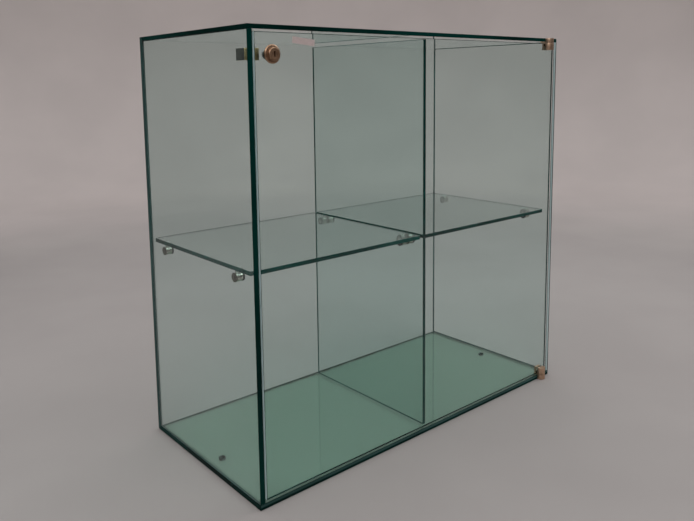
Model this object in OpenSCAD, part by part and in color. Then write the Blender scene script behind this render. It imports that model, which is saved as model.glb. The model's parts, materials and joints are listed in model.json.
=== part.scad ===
// Frameless glass display showcase for a counter: bonded glass box, centre divider,
// two loose shelves on bonded studs, and one hinged door with a cam lock.
// Millimetres. Origin: centre of the base panel's underside. The door faces -Y, +X is to the right.

/* [Case] */
// Outside width of the case
case_width = 660; // [500:10:900]
// Outside depth of the case, front edges to the back face
case_depth = 300; // [260:10:450]
// Outside height of the case
case_height = 633; // [500:1:900]

/* [Glass] */
// Thickness of the base, side and back panels
wall_glass = 8; // [6:1:10]
// Thickness of the top panel
top_glass = 6; // [5:1:8]
// Thickness of the door, the divider and the shelves
light_glass = 6; // [5:0.5:6]

/* [Door] */
// Gap between the left side panel and the door
door_left_gap = 2.5; // [2:0.5:4]
// Gap between the right side panel and the door
door_right_gap = 3; // [3:0.5:4]
// Gap above and below the door
door_end_gap = 3; // [2.5:0.5:4]

/* [Divider] */
// How far the divider stands to the left of the case's middle
divider_offset = 5; // [-60:1:60]
// Distance from the case's front to the divider's front edge
divider_setback = 13.5; // [13:0.5:40]
// Gap between the divider and the back panel
divider_back_gap = 6; // [0.5:0.5:20]
// Gap between the divider and the top panel
divider_top_gap = 3.5; // [0.5:0.5:20]

/* [Shelves] */
// Height of the shelves' undersides above the counter
shelf_height = 315; // [200:5:400]
// Distance from the case's front to the shelves' front edges
shelf_setback = 16.5; // [16.5:0.5:30]
// Gap between the shelves and the back panel
shelf_back_gap = 2.5; // [1:0.5:10]
// Gap between a shelf and the glass at each of its ends
shelf_side_gap = 2; // [1:0.5:4]
// Radius of the shelves' corners
shelf_corner = 3; // [2:1:12]

/* [Shelf studs] */
// Radius of the stud bodies
stud_radius = 6.4; // [5:0.1:8]
// How far a stud stands out from the glass
stud_length = 13; // [11:0.5:16]
// Distance from the case's front to the front studs
stud_front = 53; // [40:1:90]
// Distance from the case's back to the rear studs
stud_back = 45; // [40:1:90]
// Thickness of the clear pad between a stud and the shelf
stud_pad = 2.4; // [1.5:0.1:3]

/* [Hinges] */
// Distance from the right side panel's inner face to the hinge axis
hinge_inset = 19; // [17.5:0.5:19]
// Distance of the hinge axis in front of the door's face
hinge_out = 2; // [2:0.5:2.5]
// Radius of the hinges' round fronts
hinge_radius = 8; // [7.5:0.1:8.4]
// Height of one clamp
hinge_height = 12; // [11:0.5:14]

/* [Lock] */
// Distance from the case's left face to the lock's axis
lock_inset = 36; // [34:0.5:38]
// Distance from the case's top to the lock's axis
lock_drop = 36.3; // [34:0.1:60]
// Radius of the lock's flange
lock_radius = 12; // [11:0.5:14]
// How far the lock stands out from the door
lock_stand = 7; // [6:0.5:9]
// Reach of the cam from the lock's axis
cam_reach = 21; // [19:0.5:22]

/* [Base holes] */
// Radius of the two holes through the base
base_hole_radius = 5; // [3:0.5:6]
// Distance from each end of the case to its hole
base_hole_inset = 30; // [25:1:60]
// Distance from the case's front to the holes
base_hole_front = 140; // [60:1:200]

/* [Hidden] */
$fn = 64;
eps = 0.01;

// Outside faces of the case
left_x = -case_width / 2;
right_x = case_width / 2;
front_y = -case_depth / 2;
back_y = case_depth / 2;

// Inside faces of the case
inner_left = left_x + wall_glass;
inner_right = right_x - wall_glass;
inner_back = back_y - wall_glass;
inner_floor = wall_glass;
inner_roof = case_height - top_glass;

// Door
door_left = inner_left + door_left_gap;
door_right = inner_right - door_right_gap;
door_bottom = inner_floor + door_end_gap;
door_top = inner_roof - door_end_gap;
door_back = front_y + light_glass;

// Divider
divider_left = -divider_offset - light_glass / 2;
divider_right = -divider_offset + light_glass / 2;
divider_front = front_y + divider_setback;
divider_back = inner_back - divider_back_gap;
divider_top = inner_roof - divider_top_gap;

// Shelves
shelf_front = front_y + shelf_setback;
shelf_back = inner_back - shelf_back_gap;

// Shelf studs: a base disc with a threaded boss, a body, and a rubber ring on the body's end
stud_z = shelf_height - stud_pad - stud_radius;
stud_rows = [front_y + stud_front, back_y - stud_back];
stud_base = 1.6;
stud_boss_radius = 2;
stud_boss = 5;
stud_ring = 2.4;
stud_spigot_radius = 3.5;
stud_pad_radius = 4;
thread_play = 0.05;

// Hinges, drawn once at the top and mirrored for the bottom. Heights run down from the glass.
axis_x = inner_right - hinge_inset;
axis_y = front_y - hinge_out;
plate = 1.8;
tongue_width = 12;
tongue_back = 14;
pin_sink = 2.5;
pin_radius = 2;
pin_play = 0.05;
bush_gap = 0.05;
bush_flange = 0.5;
bush_flange_radius = 4.5;
bush_radius = 3.2;
clamp_start = plate + bush_gap + bush_flange;
clamp_end = clamp_start + hinge_height;
clamp_roof = 4.15;
grub_z = clamp_start + clamp_roof + (hinge_height - clamp_roof) / 2;
bush_length = 3.75;
pin_length = clamp_start + bush_length - 0.3;
slot_play = 0.6;
slot_front = hinge_out - slot_play;
slot_back = hinge_out + light_glass + slot_play;
cheek = 3.9;
cheek_width = 14;
gasket_width = 13.6;
notch = clamp_start + clamp_roof + 0.3 - door_end_gap;
notch_width = door_right - axis_x + hinge_radius + 0.5;
grub_radius = 2;
grub_socket = 2;
lip_clear = 0.4;

// Lock, measured along +Y from the door's front face
lock_x = left_x + lock_inset;
lock_z = case_height - lock_drop;
barrel_radius = 6;
barrel_back = 12.6;
plug_radius = 4.6;
plug_play = 0.05;
plug_head_radius = 5.2;
plug_head = 1.4;
boss_radius = 8.3;
gasket = 0.6;
flange = 2.2;
washer = 0.8;
nut = 3;
nut_flats = 15;
cam_start = 13;
cam = 2;
cam_washer = 0.6;
cam_width = 8.5;
cam_hub = 6.5;
spigot = 5.6;
cam_screw_radius = 1.5;
cam_screw_head = 2.8;
cam_screw_length = 5;
keyway_width = 2.2;
keyway_height = 7;
keyway_depth = 9;

// Strike plate: one leg on the side panel, one leg parallel to the door
strike = 1.5;
strike_height = 15;
strike_start = 11;
strike_depth = 20;
strike_reach = 14.7;
strike_bend = 2;

// Blank label on the door, from the case's left face and top
label_x = 86;
label_drop = 19.5;
label_length = 36;
label_height = 8.5;
label_tilt = 5.6;
label = 0.15;

glass_tint = [0.62, 0.78, 0.72, 0.45];
nickel = [0.70, 0.69, 0.64];
bronze = [0.56, 0.42, 0.31];
brass = [0.72, 0.58, 0.34];
steel = [0.55, 0.55, 0.55];
rubber = [0.07, 0.07, 0.07];
paper = [0.85, 0.78, 0.77];
nylon = [0.85, 0.84, 0.78];

// A box from its low corner to its high corner
module block(low, high) {
    translate(low) cube(high - low);
}

// A rod of the given radius running along +X from the given point
module rod_x(start, radius, length) {
    translate(start) rotate([0, 90, 0]) cylinder(r = radius, h = length);
}

// A rod of the given radius running along +Y from the given point
module rod_y(start, radius, length) {
    translate(start) rotate([-90, 0, 0]) cylinder(r = radius, h = length);
}

// Glass panels -----------------------------------------------------------------

module bottom_panel() {
    color(glass_tint) difference() {
        block([left_x, front_y, 0], [right_x, inner_back, inner_floor]);
        for (side = [-1, 1])
            translate([side * (right_x - base_hole_inset), front_y + base_hole_front, -1])
                cylinder(r = base_hole_radius, h = inner_floor + 2);
    }
}

module top_panel() {
    color(glass_tint) block([left_x, front_y, inner_roof], [right_x, inner_back, case_height]);
}

module side_panel(low_x) {
    color(glass_tint)
        block([low_x, front_y, inner_floor], [low_x + wall_glass, inner_back, inner_roof]);
}

module left_side_panel() {
    side_panel(left_x);
}

module right_side_panel() {
    side_panel(inner_right);
}

module back_panel() {
    color(glass_tint) block([left_x, inner_back, 0], [right_x, back_y, case_height]);
}

module centre_divider() {
    color(glass_tint) block([divider_left, divider_front, inner_floor],
                            [divider_right, divider_back, divider_top]);
}

// One shelf with rounded corners, from x0 to x1
module shelf(x0, x1) {
    color(glass_tint) translate([0, 0, shelf_height]) {
        block([x0 + shelf_corner, shelf_front, 0], [x1 - shelf_corner, shelf_back, light_glass]);
        block([x0, shelf_front + shelf_corner, 0], [x1, shelf_back - shelf_corner, light_glass]);
        for (x = [x0 + shelf_corner, x1 - shelf_corner])
            for (y = [shelf_front + shelf_corner, shelf_back - shelf_corner])
                translate([x, y, 0]) cylinder(r = shelf_corner, h = light_glass);
    }
}

module left_shelf() {
    shelf(inner_left + shelf_side_gap, divider_left - shelf_side_gap);
}

module right_shelf() {
    shelf(divider_right + shelf_side_gap, inner_right - shelf_side_gap);
}

// The door, notched at its right corners for the hinge clamps and drilled for the lock
module front_door() {
    color(glass_tint) difference() {
        block([door_left, front_y, door_bottom], [door_right, door_back, door_top]);
        block([door_right - notch_width, front_y - 1, door_bottom - 1],
              [door_right + 1, door_back + 1, door_bottom + notch]);
        block([door_right - notch_width, front_y - 1, door_top - notch],
              [door_right + 1, door_back + 1, door_top + 1]);
        rod_y([lock_x, front_y - 1, lock_z], barrel_radius + 0.3, light_glass + 2);
    }
}

// Shelf studs ------------------------------------------------------------------

// Places its children at the four studs of one shelf, with the stud's foot at the local origin
// and the stud pointing along +X: two studs on the outer wall and two on the divider
module at_studs(side) {
    divider_face = side > 0 ? divider_right : divider_left;
    for (y = stud_rows) {
        translate([side * inner_right, y, stud_z]) rotate([0, 0, side > 0 ? 180 : 0]) children();
        translate([divider_face, y, stud_z]) rotate([0, 0, side > 0 ? 0 : 180]) children();
    }
}

module stud_base_disc() {
    rod_x([0, 0, 0], stud_radius, stud_base);
    rod_x([0, 0, 0], stud_boss_radius, stud_base + stud_boss);
}

module stud_body() {
    body_end = stud_length - stud_ring;
    difference() {
        rod_x([stud_base, 0, 0], stud_radius - 0.2, body_end - stud_base);
        rod_x([0, 0, 0], stud_boss_radius + thread_play, stud_base + stud_boss + 0.2);
    }
    rod_x([body_end - eps, 0, 0], stud_spigot_radius, stud_ring + eps);
}

module stud_end_ring() {
    difference() {
        rod_x([stud_length - stud_ring, 0, 0], stud_radius, stud_ring);
        rod_x([0, 0, 0], stud_spigot_radius, stud_length + 1);
    }
}

module stud_top_pad() {
    difference() {
        translate([stud_length / 2, 0, stud_radius - 2])
            cylinder(r = stud_pad_radius, h = stud_pad + 2);
        rod_x([-1, 0, 0], stud_radius, stud_length + 2);
    }
}

module left_stud_bases() {
    color(nickel) at_studs(-1) stud_base_disc();
}

module left_stud_bodies() {
    color(nickel) at_studs(-1) stud_body();
}

module left_stud_rings() {
    color(rubber) at_studs(-1) stud_end_ring();
}

module left_stud_pads() {
    color(nylon) at_studs(-1) stud_top_pad();
}

module right_stud_bases() {
    color(nickel) at_studs(1) stud_base_disc();
}

module right_stud_bodies() {
    color(nickel) at_studs(1) stud_body();
}

module right_stud_rings() {
    color(rubber) at_studs(1) stud_end_ring();
}

module right_stud_pads() {
    color(nylon) at_studs(1) stud_top_pad();
}

// Hinges -----------------------------------------------------------------------

// Places a hinge part drawn with its axis at the local origin, its glass at z = 0 and z growing
// away from that glass: upside down under the top panel, upright on the base panel
module at_top_hinge() {
    translate([axis_x, axis_y, inner_roof]) mirror([0, 0, 1]) children();
}

module at_bottom_hinge() {
    translate([axis_x, axis_y, inner_floor]) children();
}

// Round knuckle in front of the panel's edge, with a tongue bonded to the panel's inner face
module hinge_bracket(panel, clear) {
    difference() {
        union() {
            translate([0, 0, clear - panel]) cylinder(r = hinge_radius, h = panel - clear + plate);
            block([-tongue_width / 2, 0, 0], [tongue_width / 2, tongue_back, plate]);
        }
        block([-20, hinge_out, -panel - 1], [20, 20, 0]);
        translate([0, 0, -pin_sink]) cylinder(r = pin_radius, h = pin_sink + plate + 1);
    }
}

module hinge_pin() {
    translate([0, 0, -pin_sink]) cylinder(r = pin_radius, h = pin_sink + pin_length);
}

// Flanged bush in the clamp's roof; its flange carries the clamp clear of the plate
module hinge_bush() {
    difference() {
        union() {
            translate([0, 0, clamp_start - bush_flange])
                cylinder(r = bush_flange_radius, h = bush_flange);
            translate([0, 0, clamp_start - eps]) cylinder(r = bush_radius, h = bush_length + eps);
        }
        cylinder(r = pin_radius + pin_play, h = clamp_end);
    }
}

// Clamp with a round front and a flat rear cheek, slotted for the glass, bored for the bush and
// tapped for its grub screw
module hinge_clamp() {
    difference() {
        union() {
            translate([0, 0, clamp_start]) cylinder(r = hinge_radius, h = hinge_height);
            block([-cheek_width / 2, 0, clamp_start], [cheek_width / 2, slot_back + cheek, clamp_end]);
        }
        block([-20, slot_front, clamp_start + clamp_roof], [20, slot_back, clamp_end + 1]);
        translate([0, 0, clamp_start - 1]) cylinder(r = bush_radius, h = bush_length + 1);
        rod_y([0, slot_back - 1, grub_z], grub_radius, 20);
    }
}

// Two thin gaskets between the clamp's cheeks and the glass
module hinge_gaskets() {
    for (y = [slot_front, slot_back - slot_play])
        block([-gasket_width / 2, y, clamp_start + clamp_roof + 0.3],
              [gasket_width / 2, y + slot_play, clamp_end - 0.3]);
}

// Grub screw with a hexagon socket, tightened from inside the case
module hinge_screw() {
    length = cheek - 0.3;
    difference() {
        rod_y([0, slot_back, grub_z], grub_radius - thread_play, length);
        translate([0, slot_back + length - grub_socket, grub_z]) rotate([-90, 0, 0])
            cylinder(d = 2.3, h = grub_socket + 1, $fn = 6);
    }
}

module top_hinge_bracket() {
    color(bronze) at_top_hinge() hinge_bracket(top_glass, 0);
}

module top_hinge_pin() {
    color(steel) at_top_hinge() hinge_pin();
}

module top_hinge_bush() {
    color(nylon) at_top_hinge() hinge_bush();
}

module top_hinge_clamp() {
    color(bronze) at_top_hinge() hinge_clamp();
}

module top_hinge_gaskets() {
    color(nylon) at_top_hinge() hinge_gaskets();
}

module top_hinge_screw() {
    color(steel) at_top_hinge() hinge_screw();
}

module bottom_hinge_bracket() {
    color(bronze) at_bottom_hinge() hinge_bracket(wall_glass, lip_clear);
}

module bottom_hinge_pin() {
    color(steel) at_bottom_hinge() hinge_pin();
}

module bottom_hinge_bush() {
    color(nylon) at_bottom_hinge() hinge_bush();
}

module bottom_hinge_clamp() {
    color(bronze) at_bottom_hinge() hinge_clamp();
}

module bottom_hinge_gaskets() {
    color(nylon) at_bottom_hinge() hinge_gaskets();
}

module bottom_hinge_screw() {
    color(steel) at_bottom_hinge() hinge_screw();
}

// Lock -------------------------------------------------------------------------

// Places a lock part drawn with its axis along +Z: z = 0 is the door's front face, z grows inward
module at_lock() {
    translate([lock_x, front_y, lock_z]) rotate([-90, 0, 0]) children();
}

// Flange, raised boss and threaded barrel, turned from one bar and bored for the plug
module lock_barrel() {
    bore = plug_radius + plug_play;
    head = plug_head_radius + plug_play;
    flange_back = -gasket;
    flange_front = flange_back - flange;
    face = -lock_stand;
    color(bronze) at_lock() rotate_extrude()
        polygon([[bore, barrel_back], [barrel_radius - 0.6, barrel_back],
                 [barrel_radius, barrel_back - 0.6], [barrel_radius, flange_back],
                 [lock_radius, flange_back], [lock_radius, flange_front + 1],
                 [lock_radius - 1.4, flange_front], [boss_radius, flange_front],
                 [boss_radius, face + 0.9], [boss_radius - 0.9, face],
                 [head, face], [head, face + plug_head + 0.1], [bore, face + plug_head + 0.1]]);
}

module lock_gasket() {
    color(rubber) at_lock() translate([0, 0, -gasket]) difference() {
        cylinder(r = lock_radius - 0.5, h = gasket);
        translate([0, 0, -1]) cylinder(r = barrel_radius, h = gasket + 2);
    }
}

module lock_washer() {
    color(rubber) at_lock() translate([0, 0, light_glass]) difference() {
        cylinder(r = nut_flats / 2 + 1.3, h = washer);
        translate([0, 0, -1]) cylinder(r = barrel_radius + 0.1, h = washer + 2);
    }
}

module lock_nut() {
    color(steel) at_lock() translate([0, 0, light_glass + washer]) difference() {
        cylinder(r = nut_flats / sqrt(3), h = nut, $fn = 6);
        translate([0, 0, -1]) cylinder(r = barrel_radius + thread_play, h = nut + 2);
    }
}

// Plug with its keyway at the front and, at the back, a square spigot tapped for the cam's screw
module lock_plug() {
    head_start = -lock_stand + 0.3;
    spigot_end = cam_start + cam;
    color(bronze) at_lock() difference() {
        union() {
            translate([0, 0, head_start]) cylinder(r = plug_head_radius, h = plug_head - 0.3);
            translate([0, 0, head_start]) cylinder(r = plug_radius, h = cam_start - head_start);
            translate([-spigot / 2, -spigot / 2, cam_start - 1])
                cube([spigot, spigot, spigot_end - cam_start + 1]);
        }
        translate([-keyway_width / 2, -keyway_height / 2, head_start - 1])
            cube([keyway_width, keyway_height, keyway_depth + 1]);
        translate([0, 0, spigot_end - cam_screw_length - 1])
            cylinder(r = cam_screw_radius, h = cam_screw_length + 2);
    }
}

// Flat cam with a round hub. At rest it points away from the strike, so the door is unlocked.
module lock_cam() {
    hole = spigot + 0.1;
    tip = cam_reach - cam_width / 2;
    color(steel) at_lock() translate([0, 0, cam_start]) difference() {
        union() {
            cylinder(r = cam_hub, h = cam);
            translate([0, -cam_width / 2, 0]) cube([tip, cam_width, cam]);
            translate([tip, 0, 0]) cylinder(r = cam_width / 2, h = cam);
        }
        translate([-hole / 2, -hole / 2, -1]) cube([hole, hole, cam + 2]);
    }
}

module lock_cam_washer() {
    color(steel) at_lock() translate([0, 0, cam_start + cam]) difference() {
        cylinder(r = spigot / sqrt(2), h = cam_washer);
        translate([0, 0, -1]) cylinder(r = cam_screw_radius + 0.1, h = cam_washer + 2);
    }
}

// Pan head screw with a cross recess
module lock_cam_screw() {
    seat = cam_start + cam + cam_washer;
    recess = cam_screw_head * 0.65;
    color(steel) at_lock() difference() {
        union() {
            translate([0, 0, seat]) cylinder(r = cam_screw_head, h = 2);
            translate([0, 0, seat - cam_screw_length])
                cylinder(r = cam_screw_radius - thread_play, h = cam_screw_length + eps);
        }
        for (turn = [0, 90])
            rotate([0, 0, turn]) translate([-recess, -0.35, seat + 1]) cube([2 * recess, 0.7, 2]);
    }
}

// Bent plate: the bend is a quarter ring about the corner where the two legs meet
module strike_plate() {
    y0 = front_y + strike_start;
    low_z = lock_z - strike_height / 2;
    high_z = lock_z + strike_height / 2;
    color(brass) {
        block([inner_left, y0 + strike_bend, low_z],
              [inner_left + strike, y0 + strike_depth, high_z]);
        block([inner_left + strike_bend, y0, low_z],
              [inner_left + strike_reach, y0 + strike, high_z]);
        translate([inner_left + strike_bend, y0 + strike_bend, low_z])
            rotate([0, 0, 180]) rotate_extrude(angle = 90)
                translate([strike_bend - strike, 0]) square([strike, strike_height]);
    }
}

// Blank label stuck on the door's front face, slightly crooked
module door_label() {
    color(paper)
        translate([left_x + label_x, front_y, case_height - label_drop]) rotate([0, label_tilt, 0])
            block([-label_length / 2, -label, -label_height / 2],
                  [label_length / 2, 0, label_height / 2]);
}

bottom_panel();
top_panel();
left_side_panel();
right_side_panel();
back_panel();
centre_divider();
left_shelf();
right_shelf();
front_door();
left_stud_bases();
left_stud_bodies();
left_stud_rings();
left_stud_pads();
right_stud_bases();
right_stud_bodies();
right_stud_rings();
right_stud_pads();
top_hinge_bracket();
top_hinge_pin();
top_hinge_bush();
top_hinge_clamp();
top_hinge_gaskets();
top_hinge_screw();
bottom_hinge_bracket();
bottom_hinge_pin();
bottom_hinge_bush();
bottom_hinge_clamp();
bottom_hinge_gaskets();
bottom_hinge_screw();
lock_barrel();
lock_gasket();
lock_washer();
lock_nut();
lock_plug();
lock_cam();
lock_cam_washer();
lock_cam_screw();
strike_plate();
door_label();
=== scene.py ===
"""Glass display showcase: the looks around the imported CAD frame."""
import json
import math

import bmesh
import bpy
from mathutils import Matrix, Vector


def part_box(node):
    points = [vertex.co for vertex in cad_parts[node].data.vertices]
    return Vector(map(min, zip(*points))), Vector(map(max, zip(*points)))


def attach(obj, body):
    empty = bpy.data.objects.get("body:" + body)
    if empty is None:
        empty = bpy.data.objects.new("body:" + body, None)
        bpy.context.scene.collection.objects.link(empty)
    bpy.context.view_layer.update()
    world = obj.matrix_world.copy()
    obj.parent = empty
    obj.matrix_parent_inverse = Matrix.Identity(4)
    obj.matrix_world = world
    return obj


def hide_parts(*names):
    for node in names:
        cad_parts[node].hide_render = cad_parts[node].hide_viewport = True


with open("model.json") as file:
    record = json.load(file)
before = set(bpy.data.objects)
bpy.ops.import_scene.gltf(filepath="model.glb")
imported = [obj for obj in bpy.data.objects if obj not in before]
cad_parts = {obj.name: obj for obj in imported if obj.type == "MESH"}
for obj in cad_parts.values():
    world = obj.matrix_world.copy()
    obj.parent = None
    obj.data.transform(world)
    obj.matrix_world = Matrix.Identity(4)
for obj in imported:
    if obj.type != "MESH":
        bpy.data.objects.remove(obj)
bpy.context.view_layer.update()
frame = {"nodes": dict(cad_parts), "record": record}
nodes = frame["nodes"]
record = frame["record"]
MM = 0.001

# ---------------------------------------------------------------- node helpers


class Tree:
    """A small wrapper that makes a material's node tree easy to write."""

    def __init__(self, name):
        self.mat = bpy.data.materials.new(name)
        self.mat.use_nodes = True
        self.nt = self.mat.node_tree
        self.nt.nodes.clear()
        self.out = self.nt.nodes.new("ShaderNodeOutputMaterial")
        self.coord = None

    def add(self, kind, **values):
        node = self.nt.nodes.new(kind)
        for key, value in values.items():
            setattr(node, key, value)
        return node

    def link(self, a, b):
        self.nt.links.new(a, b)

    def feed(self, socket, value):
        """Gives a socket a number, a colour without its alpha, or another node's output."""
        if isinstance(value, (int, float)):
            socket.default_value = value
        elif isinstance(value, tuple):
            socket.default_value = (*value, 1.0)
        else:
            self.link(value, socket)

    def object_coord(self):
        if self.coord is None:
            self.coord = self.add("ShaderNodeTexCoord").outputs["Object"]
        return self.coord

    def mapped(self, scale=(1, 1, 1), rotation=(0, 0, 0), location=(0, 0, 0)):
        node = self.add("ShaderNodeMapping")
        self.link(self.object_coord(), node.inputs["Vector"])
        node.inputs["Scale"].default_value = scale
        node.inputs["Rotation"].default_value = rotation
        node.inputs["Location"].default_value = location
        return node.outputs[0]

    def noise(self, scale, detail=3.0, rough=0.55, vector=None, distort=0.0):
        node = self.add("ShaderNodeTexNoise")
        self.link(vector or self.object_coord(), node.inputs["Vector"])
        node.inputs["Scale"].default_value = scale
        node.inputs["Detail"].default_value = detail
        node.inputs["Roughness"].default_value = rough
        node.inputs["Distortion"].default_value = distort
        return node.outputs["Fac"]

    def ramp(self, value, low, high, to_low=0.0, to_high=1.0):
        node = self.add("ShaderNodeMapRange", interpolation_type="SMOOTHSTEP")
        self.link(value, node.inputs["Value"])
        node.inputs["From Min"].default_value = low
        node.inputs["From Max"].default_value = high
        node.inputs["To Min"].default_value = to_low
        node.inputs["To Max"].default_value = to_high
        return node.outputs["Result"]

    def math(self, operation, a, b):
        node = self.add("ShaderNodeMath", operation=operation)
        self.link(a, node.inputs[0])
        self.link(b, node.inputs[1])
        return node.outputs[0]

    def vector_math(self, operation, vector):
        node = self.add("ShaderNodeVectorMath", operation=operation)
        self.link(vector, node.inputs[0])
        return node

    def mix(self, factor, a, b):
        node = self.add("ShaderNodeMix", data_type="RGBA")
        # Sockets 0, 6 and 7 are the factor and the two colours of a Mix node in its RGBA mode
        self.feed(node.inputs[0], factor)
        self.feed(node.inputs[6], a)
        self.feed(node.inputs[7], b)
        return node.outputs[2]

    def bump(self, height, distance, strength):
        node = self.add("ShaderNodeBump")
        node.inputs["Strength"].default_value = strength
        node.inputs["Distance"].default_value = distance
        self.link(height, node.inputs["Height"])
        return node.outputs[0]

    def principled(self, color, roughness, normal=None, **plain):
        node = self.add("ShaderNodeBsdfPrincipled")
        self.feed(node.inputs["Base Color"], color)
        self.feed(node.inputs["Roughness"], roughness)
        if normal is not None:
            self.link(normal, node.inputs["Normal"])
        for key, value in plain.items():
            node.inputs[key.replace("_", " ")].default_value = value
        self.link(node.outputs[0], self.out.inputs["Surface"])
        return node


# ------------------------------------------------------------------- materials

GLASS_IOR = 1.52
GLASS_SHEEN = (0.35, 0.35, 0.35)
PANE_TINT = (0.85, 0.93, 0.915)
BASE_TINT = (0.72, 0.92, 0.84)
# The colour of a darker patch on the base glass along its rear joint
DARK_PATCH_TINT = (0.26, 0.25, 0.20)
MARK_ROUGHNESS = 0.025  # the most that a smudge or the dust adds
LAMP_PASS = 0.96  # the share of a lamp's light that a whole untinted pane lets through


def glass_material(name, seed, tint, dark_patch=None):
    """Float glass with faint wiped smudges and dust. Lamps shine through it. The last argument gives
    the middle in millimetres, and one over the reach along each axis, of a darker patch."""
    t = Tree(name)
    wiped = t.mapped(scale=(3.0, 3.0, 1.2), rotation=(0.5, 0.3, 0.9), location=(seed, 0, 0))
    streak = t.noise(9.0, 5.0, 0.6, wiped, 0.6)
    dust = t.noise(420.0, 2.0, 0.5)
    rough = t.math("ADD", t.ramp(streak, 0.52, 0.82, 0.0, MARK_ROUGHNESS),
                   t.ramp(dust, 0.66, 0.80, 0.0, MARK_ROUGHNESS))
    color = tint
    if dark_patch is not None:
        middle, per_reach = dark_patch
        patch = t.mapped(scale=[s / MM for s in per_reach],
                         location=[-c * s for c, s in zip(middle, per_reach)])
        away = t.vector_math("LENGTH", patch).outputs["Value"]
        blots = t.math("MULTIPLY", t.ramp(away, 0.3, 1.0, 1.0, 0.0),
                       t.ramp(t.noise(40.0, 4.0, 0.6, distort=0.5), 0.25, 0.6))
        color = t.mix(blots, tint, DARK_PATCH_TINT)
    glass = t.principled(color, rough, IOR=GLASS_IOR, Transmission_Weight=1.0)
    glass.inputs["Specular Tint"].default_value = (*GLASS_SHEEN, 1.0)
    lamp = t.add("ShaderNodeBsdfTransparent")
    lamp.inputs["Color"].default_value = (*(math.sqrt(LAMP_PASS * c) for c in tint), 1.0)
    path = t.add("ShaderNodeLightPath")
    mix = t.add("ShaderNodeMixShader")
    t.link(path.outputs["Is Shadow Ray"], mix.inputs[0])
    t.link(glass.outputs[0], mix.inputs[1])
    t.link(lamp.outputs[0], mix.inputs[2])
    t.link(mix.outputs[0], t.out.inputs["Surface"])
    return t.mat


# Dark, light and fleck colours of an outer edge, an edge inside the case, a bonded edge painted lighter
# for the light that reaches it through the glass, an edge with a painted highlight where it faces the
# light, and the door's edge in its gap, painted pale as a painted glint in the gap's shade
DEEP = ((0.0005, 0.013, 0.010), (0.0015, 0.036, 0.029), (0.008, 0.080, 0.066))
TEAL = ((0.0005, 0.036, 0.030), (0.002, 0.075, 0.063), (0.010, 0.120, 0.100))
PAINTED_LIT = ((0.030, 0.068, 0.063), (0.060, 0.118, 0.110), (0.11, 0.19, 0.175))
PAINTED_HIGHLIGHT = ((0.38, 0.50, 0.49), (0.54, 0.66, 0.65), (0.72, 0.80, 0.78))
PAINTED_GLINT = ((0.62, 0.78, 0.78), (0.76, 0.90, 0.90), (0.86, 0.94, 0.94))
EDGE_GLOSS = 0.04


def edge_material(name, seed, tone, across=None):
    """The polished edge of green float glass, with paler bands along it. across gives the axis, the
    start and the end in millimetres, and the tone of a second band beside the first."""
    t = Tree(name)
    band = t.ramp(t.noise(5.0, 3.0, 0.5, t.mapped(location=(seed, 0, 0))), 0.35, 0.7)
    fine = t.noise(240.0, 3.0, 0.6, t.mapped(location=(0, seed, 0)))
    fleck = t.ramp(fine, 0.6, 0.85)

    def toned(dark, light, flecks):
        return t.mix(fleck, t.mix(band, dark, light), flecks)

    color = toned(*tone)
    if across is not None:
        # A second tone beside the first along one axis paints light and shade across one edge face: a
        # lit strip beside a darker one
        axis, start, end, second = across
        split = t.add("ShaderNodeSeparateXYZ")
        t.link(t.object_coord(), split.inputs[0])
        beside = t.ramp(split.outputs[axis], start * MM, end * MM)
        color = t.mix(beside, color, toned(*second))
    t.principled(color, t.ramp(fine, 0.3, 0.8, 0.12, 0.3), t.bump(fine, 0.00002, 0.3),
                 IOR=GLASS_IOR, Specular_IOR_Level=EDGE_GLOSS)
    return t.mat


def metal_material(name, base, dark, grain, rough):
    """Plated metal with a fine grain and small stains. rough is its least and most roughness."""
    t = Tree(name)
    fine = t.noise(900.0, 4.0, 0.6, t.mapped(scale=grain))
    stain = t.noise(160.0, 4.0, 0.6, distort=0.4)
    color = t.mix(t.ramp(stain, 0.42, 0.72), base, dark)
    shine = t.math("ADD", t.ramp(fine, 0.3, 0.75, *rough), t.ramp(stain, 0.5, 0.8, 0.0, 0.12))
    t.principled(color, shine, t.bump(fine, 0.00001, 0.6), Metallic=1.0)
    return t.mat


def soft_material(name, base, dark, rough, **plain):
    """Rubber, plastic, paper or a plain grey face, with a fine grain."""
    t = Tree(name)
    grain = t.noise(1400.0, 3.0, 0.5)
    color = t.mix(t.ramp(t.noise(220.0, 3.0), 0.4, 0.7), base, dark)
    t.principled(color, t.ramp(grain, 0.3, 0.7, rough - 0.08, rough + 0.08),
                 t.bump(grain, 0.00002, 0.5), **plain)
    return t.mat


EVEN = (1, 1, 1)  # a grain that is the same along every axis
# The hinges' and lock's warm copper colour is partly the metal's own tone and partly a painted
# reflection of warm surroundings; the stains are real
hinge_bronze_and_warm_sheen = metal_material("hinge_bronze_and_warm_sheen", (0.66, 0.45, 0.315), (0.47, 0.31, 0.21),
                              (1, 1, 0.15), (0.34, 0.5))
lock_bronze_and_warm_sheen = metal_material("lock_bronze_and_warm_sheen", (0.44, 0.275, 0.175), (0.22, 0.13, 0.08),
                             (1, 1, 0.15), (0.36, 0.52))
nickel = metal_material("nickel_plate", (0.66, 0.63, 0.56), (0.44, 0.41, 0.35),
                        (1, 0.2, 1), (0.12, 0.28))
dull_nickel = metal_material("dull_nickel", (0.24, 0.215, 0.175), (0.13, 0.115, 0.09),
                             EVEN, (0.3, 0.5))
dark_steel = metal_material("dark_steel", (0.13, 0.125, 0.12), (0.07, 0.067, 0.062),
                            EVEN, (0.35, 0.5))
steel = metal_material("zinc_steel", (0.46, 0.46, 0.45), (0.30, 0.30, 0.30), EVEN, (0.25, 0.45))
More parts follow.
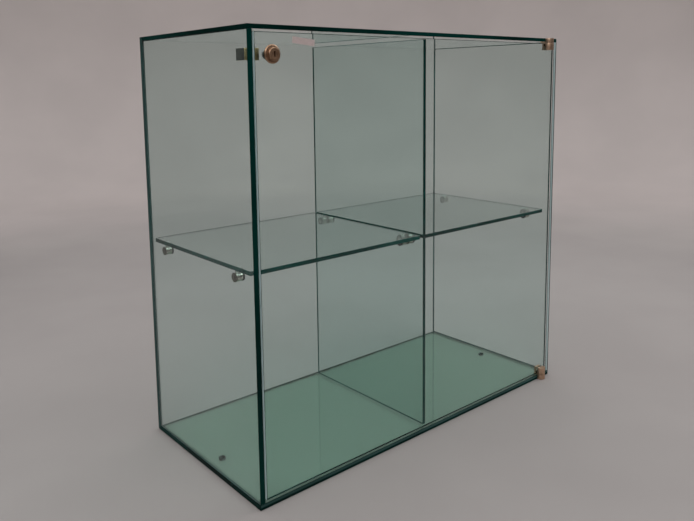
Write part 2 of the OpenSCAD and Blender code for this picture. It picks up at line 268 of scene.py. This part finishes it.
# The strike plate's gold is partly its own tone and partly a painted reflection of warm surroundings
brass_and_warm_sheen = metal_material("satin_brass", (0.76, 0.60, 0.32), (0.56, 0.42, 0.20),
                       (1, 1, 0.1), (0.3, 0.45))
strike_grey_face = soft_material("strike_grey_tone", (0.085, 0.082, 0.072), (0.055, 0.052, 0.046), 0.5)
rubber = soft_material("black_rubber", (0.018, 0.018, 0.018), (0.035, 0.034, 0.032), 0.62)
vinyl = soft_material("clear_vinyl", (0.72, 0.74, 0.70), (0.60, 0.61, 0.56), 0.3,
                      Transmission_Weight=0.6, IOR=1.5)
nylon = soft_material("white_nylon", (0.74, 0.72, 0.66), (0.62, 0.60, 0.53), 0.45)
gasket_vinyl = soft_material("grey_vinyl", (0.40, 0.35, 0.27), (0.31, 0.27, 0.21), 0.5)
paper = soft_material("blank_paper", (0.62, 0.50, 0.48), (0.54, 0.44, 0.41), 0.7)

# ---------------------------------------------------------------------- pieces

BODY = {node: body for body, members in record["behaviour"]["bodies"].items() for node in members}

MERGE = 1e-6  # vertices closer than this, in metres, are one
SAME_PLANE = math.radians(0.5)  # faces that meet at less are one face
SHARP = math.radians(28)  # edges that turn by more are eased
SHADED_SHARP = math.radians(35)  # edges that turn by more are drawn sharp
FLAT_AREA = 6e-6  # a pane's faces under this, in square metres, are shaded smooth
ALONG = 0.99  # the least dot product for a face that looks along a pane's thin axis
TOWARDS = 0.9  # the least dot product for a face that looks one of the six ways


def worked_copy(node_name, materials, width, segments=2, thin=None, inset=0.0, longer=0.0, ways=()):
    """A copy of a CAD node's shape with its sharp edges eased, which stands for that node.
    thin is a pane's thin axis: its faces that don't look along it are its edges, and get the
    second material. Edges no longer than longer stay as they are. A face that looks along one of
    ways gets that way's own material, which follows the others."""
    bm = bmesh.new()
    bm.from_mesh(nodes[node_name].data)
    bmesh.ops.remove_doubles(bm, verts=bm.verts, dist=MERGE)
    bmesh.ops.dissolve_limit(bm, angle_limit=SAME_PLANE, verts=bm.verts, edges=bm.edges)
    edges = [e for e in bm.edges if len(e.link_faces) == 2 and e.calc_length() > longer
             and e.calc_face_angle(0.0) > SHARP]
    bmesh.ops.bevel(bm, geom=edges, offset=width, offset_type="OFFSET", segments=segments,
                    profile=0.6, affect="EDGES", clamp_overlap=True)
    if inset:
        low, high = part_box(node_name)
        middle = (Vector(low) + Vector(high)) / 2
        half = (Vector(high) - Vector(low)) / 2
        for vert in bm.verts:
            for k in range(3):
                vert.co[k] = middle[k] + (vert.co[k] - middle[k]) * (1 - inset / half[k])
    first_way = len(materials) - len(ways)
    for face in bm.faces:
        if thin is not None and abs(face.normal[thin]) < ALONG:
            face.material_index = 1
        for k, way in enumerate(ways):
            if face.normal.dot(Vector(way)) > TOWARDS:
                face.material_index = first_way + k
    mesh = bpy.data.meshes.new(node_name + "_look")
    bm.to_mesh(mesh)
    bm.free()
    for material in materials:
        mesh.materials.append(material)
    piece = bpy.data.objects.new(node_name + "_look", mesh)
    bpy.context.collection.objects.link(piece)
    mesh.set_sharp_from_angle(angle=SHADED_SHARP)
    for face in mesh.polygons:
        face.use_smooth = thin is None or face.area < FLAT_AREA
    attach(piece, BODY[node_name])
    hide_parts(node_name)
    return piece


X, Y, Z = 0, 1, 2
LEFT, FRONT, REAR = (-1, 0, 0), (0, -1, 0), (0, 1, 0)
DOWN, UP = (0, 0, -1), (0, 0, 1)
# Pane, its thin axis, its tint, its edges' tone, and its other edges: the way each looks, its tone,
# and the band beside it, which is an axis, a start and an end in millimetres, and a tone
PANES = (
    # Joint edges take the painted lit tone. The base's front edge is painted lighter above 3.6 to 4.4
    # mm up: a painted highlight on its upper part above the plain dark lower part
    ("bottom_panel", Z, BASE_TINT, DEEP, ((FRONT, DEEP, (Z, 3.6, 4.4, PAINTED_LIT)), (REAR, PAINTED_LIT, None))),
    ("top_panel", Z, PANE_TINT, DEEP, ((REAR, PAINTED_LIT, None),)),
    ("left_side_panel", X, PANE_TINT, DEEP, ((UP, PAINTED_LIT, None), (DOWN, PAINTED_LIT, None), (REAR, PAINTED_LIT, None))),
    # The right panel's front edge is painted bright as a painted highlight, with a plain dark strip
    # from 327.2 to 327.8 mm along X
    ("right_side_panel", X, PANE_TINT, DEEP,
     ((FRONT, PAINTED_HIGHLIGHT, (X, 327.2, 327.8, DEEP)), (UP, PAINTED_LIT, None), (DOWN, PAINTED_LIT, None), (REAR, PAINTED_LIT, None))),
    ("back_panel", Y, PANE_TINT, DEEP, ((LEFT, PAINTED_LIT, None),)),
    ("centre_divider", X, PANE_TINT, TEAL, ((DOWN, PAINTED_LIT, None),)),
    ("left_shelf", Z, PANE_TINT, TEAL, ()),
    ("right_shelf", Z, PANE_TINT, TEAL, ()),
    # The door's left edge in the gap is painted pale: a painted glint where the gap lies in shade
    ("front_door", Y, PANE_TINT, DEEP, ((LEFT, PAINTED_GLINT, None),)),
)
# A darker patch along the base's rear joint: its middle, and one over its reach along each axis
DARK_PATCHES = {"bottom_panel": ((0, 142, 8), (1 / 420, 1 / 7, 1 / 30))}
DRILLED = ("bottom_panel", "front_door")
PANE_ARRIS = 0.5 * MM
PANE_INSET = 0.03 * MM  # keeps bonded faces from lying in one plane
BORE_FACET = 3 * MM  # no edge of a bore's facets is longer than this
GLASS_STEP, EDGE_STEP = 1.7, 2.3  # how far each pane's marks and bands are moved from the last's

for index, (pane, thin, tint, rim, sides) in enumerate(PANES):
    looks = [glass_material(pane + "_glass", index * GLASS_STEP, tint, DARK_PATCHES.get(pane)),
             edge_material(pane + "_edge", index * EDGE_STEP, rim)]
    for number, (way, tone, across) in enumerate(sides):
        looks.append(edge_material(f"{pane}_edge_{number + 2}", index * EDGE_STEP + number,
                                   tone, across))
    longer = BORE_FACET if pane in DRILLED else 0.0
    worked_copy(pane, looks, PANE_ARRIS, 1, thin, PANE_INSET, longer, [s[0] for s in sides])

# Metal pieces get a small bright arris: the node, its finish and the arris in millimetres
METALS = (
    ("top_hinge_bracket", hinge_bronze_and_warm_sheen, 0.25), ("bottom_hinge_bracket", hinge_bronze_and_warm_sheen, 0.25),
    ("top_hinge_clamp", hinge_bronze_and_warm_sheen, 0.3), ("bottom_hinge_clamp", hinge_bronze_and_warm_sheen, 0.3),
    ("lock_barrel", lock_bronze_and_warm_sheen, 0.35), ("lock_plug", lock_bronze_and_warm_sheen, 0.2),
    ("left_stud_bases", dull_nickel, 0.2), ("right_stud_bases", dull_nickel, 0.2),
    ("left_stud_bodies", nickel, 0.25), ("right_stud_bodies", nickel, 0.25),
    ("lock_cam", steel, 0.2), ("lock_nut", dark_steel, 0.3), ("lock_cam_washer", steel, 0.1),
    ("lock_cam_screw", steel, 0.1), ("top_hinge_screw", steel, 0.1),
    ("bottom_hinge_screw", steel, 0.1), ("top_hinge_pin", steel, 0.1),
    ("bottom_hinge_pin", steel, 0.1),
)
for node_name, finish, arris in METALS:
    worked_copy(node_name, [finish], arris * MM)
# The strike plate's face against the side panel is dark grey where it shows through the glass
worked_copy("strike_plate", [brass_and_warm_sheen, strike_grey_face], 0.25 * MM, ways=[LEFT])

# These stay as CAD made them, with a new material
PLAIN = {
    "left_stud_rings": rubber, "right_stud_rings": rubber, "lock_gasket": rubber,
    "lock_washer": rubber, "left_stud_pads": vinyl, "right_stud_pads": vinyl,
    "top_hinge_gaskets": gasket_vinyl, "bottom_hinge_gaskets": gasket_vinyl,
    "top_hinge_bush": nylon, "bottom_hinge_bush": nylon, "door_label": paper,
}
for node_name, material in PLAIN.items():
    data = nodes[node_name].data
    data.materials.clear()
    data.materials.append(material)

# ----------------------------------------------------------------------- stage

BACKDROP = math.radians(40)  # the middle of the pale part of the wall, turned from +Y towards +X
FLOOR_FLAT = 2.4  # metres from the middle to where the floor starts to curve up
FLOOR_BEND = 1.0
WALL_TOP = 2.5
BEND_STEPS = 10
AROUND = 96
FLOOR_DROP = 0.3 * MM
# Each is two tones of one colour, which a soft noise mixes
# The ground's darker tone is partly its own and partly painted shade low down
GROUND = ((0.37, 0.335, 0.32), (0.345, 0.312, 0.298))
BACKING = ((0.565, 0.50, 0.475), (0.53, 0.47, 0.447))
DIM_SIDE = (0.125, 0.116, 0.112)


def floor_mesh():
    """A round floor that curves up into a wall."""
    profile = [(0.0, 0.0), (0.8, 0.0), (1.7, 0.0)]
    for i in range(BEND_STEPS + 1):
        a = i / BEND_STEPS * math.pi / 2
        profile.append((FLOOR_FLAT + FLOOR_BEND * math.sin(a), FLOOR_BEND - FLOOR_BEND * math.cos(a)))
    profile.append((FLOOR_FLAT + FLOOR_BEND, WALL_TOP))
    turns = [2 * math.pi * k / AROUND for k in range(AROUND)]
    bm = bmesh.new()
    rings = [[bm.verts.new((0, 0, profile[0][1]))]]
    for radius, z in profile[1:]:
        rings.append([bm.verts.new((radius * math.cos(turn), radius * math.sin(turn), z))
                      for turn in turns])
    for low, high in zip(rings, rings[1:]):
        for k in range(AROUND):
            n = (k + 1) % AROUND
            if len(low) == 1:
                bm.faces.new((low[0], high[k], high[n]))
            else:
                bm.faces.new((low[k], high[k], high[n], low[n]))
    for face in bm.faces:
        face.smooth = True
        face.normal_flip()
    mesh = bpy.data.meshes.new("floor")
    bm.to_mesh(mesh)
    bm.free()
    return mesh


def floor_material():
    """Pale ground that turns into a paler backing further out, on the backdrop's side. The ground is
    darker than the backing, partly in its own tone and partly as painted shade. The other sides of the
    wall are dim."""
    t = Tree("pale_floor")
    cloud = t.ramp(t.noise(2.5, 3.0), 0.3, 0.7)
    ground = t.mix(cloud, *GROUND)
    backing = t.mix(cloud, *BACKING)
    flat_coord = t.mapped(scale=(1, 1, 0))
    reach = t.vector_math("LENGTH", flat_coord).outputs["Value"]
    way = t.vector_math("NORMALIZE", flat_coord).outputs[0]
    ahead = t.vector_math("DOT_PRODUCT", way)
    ahead.inputs[1].default_value = (math.sin(BACKDROP), math.cos(BACKDROP), 0)
    pale = t.mix(t.ramp(reach, 1.3, 2.7), ground, backing)
    near = t.ramp(reach, 1.1, 2.3, 1.0, 0.0)
    lit = t.math("MAXIMUM", near, t.ramp(ahead.outputs["Value"], 0.25, 0.74))
    t.principled(t.mix(lit, DIM_SIDE, pale), 0.85, t.bump(t.noise(350.0, 2.0), 0.0002, 0.3))
    return t.mat


mesh = floor_mesh()
mesh.materials.append(floor_material())
floor = bpy.data.objects.new("floor", mesh)
floor.location.z = -FLOOR_DROP
bpy.context.collection.objects.link(floor)

AIM = Vector((0, 0, 0.3))  # the middle of the case, roughly
# Name, place in metres, width and height in metres, watts
SOFTBOXES = (
    ("softbox_left", (-1.9, -1.5, 2.3), (1.6, 1.2), 22),
    ("softbox_right", (1.9, -0.9, 2.0), (1.2, 1.2), 10),
    ("softbox_top", (0.1, 0.2, 2.9), (1.8, 1.6), 7),
)
for name, at, size, watts in SOFTBOXES:
    data = bpy.data.lights.new(name, "AREA")
    data.shape = "RECTANGLE"
    data.size, data.size_y = size
    data.energy = watts
    light = bpy.data.objects.new(name, data)
    light.location = at
    light.rotation_euler = (AIM - Vector(at)).to_track_quat("-Z", "Y").to_euler()
    bpy.context.collection.objects.link(light)

world = bpy.data.worlds.new("studio")
bpy.context.scene.world = world
world.use_nodes = True
background = world.node_tree.nodes["Background"]
background.inputs["Color"].default_value = (0.95, 0.97, 1.0, 1.0)
background.inputs["Strength"].default_value = 0.95

# ---------------------------------------------------------------------- camera

# Solved from the case's corners and edges in the photograph
YAW, PITCH, ROLL = math.radians(40.019), math.radians(-7.516), math.radians(-0.775)
CAMERA_AT = (-0.8004, -0.8781, 0.5611)
look = Vector((math.sin(YAW) * math.cos(PITCH), math.cos(YAW) * math.cos(PITCH), math.sin(PITCH)))
level = Vector((math.cos(YAW), -math.sin(YAW), 0.0))
upright = level.cross(look)
right = math.cos(ROLL) * level + math.sin(ROLL) * upright
upward = math.cos(ROLL) * upright - math.sin(ROLL) * level
camera_data = bpy.data.cameras.new("camera")
camera_data.lens = 36.36
camera_data.sensor_width = 36.0
camera_data.shift_x = 0.0129
camera_data.shift_y = -0.1239
camera_data.dof.use_dof = False
camera = bpy.data.objects.new("camera", camera_data)
camera.matrix_world = (Matrix.Translation(CAMERA_AT)
                       @ Matrix((right, upward, -look)).transposed().to_4x4())
bpy.context.collection.objects.link(camera)
bpy.context.scene.camera = camera
bpy.context.scene.view_settings.view_transform = "Standard"
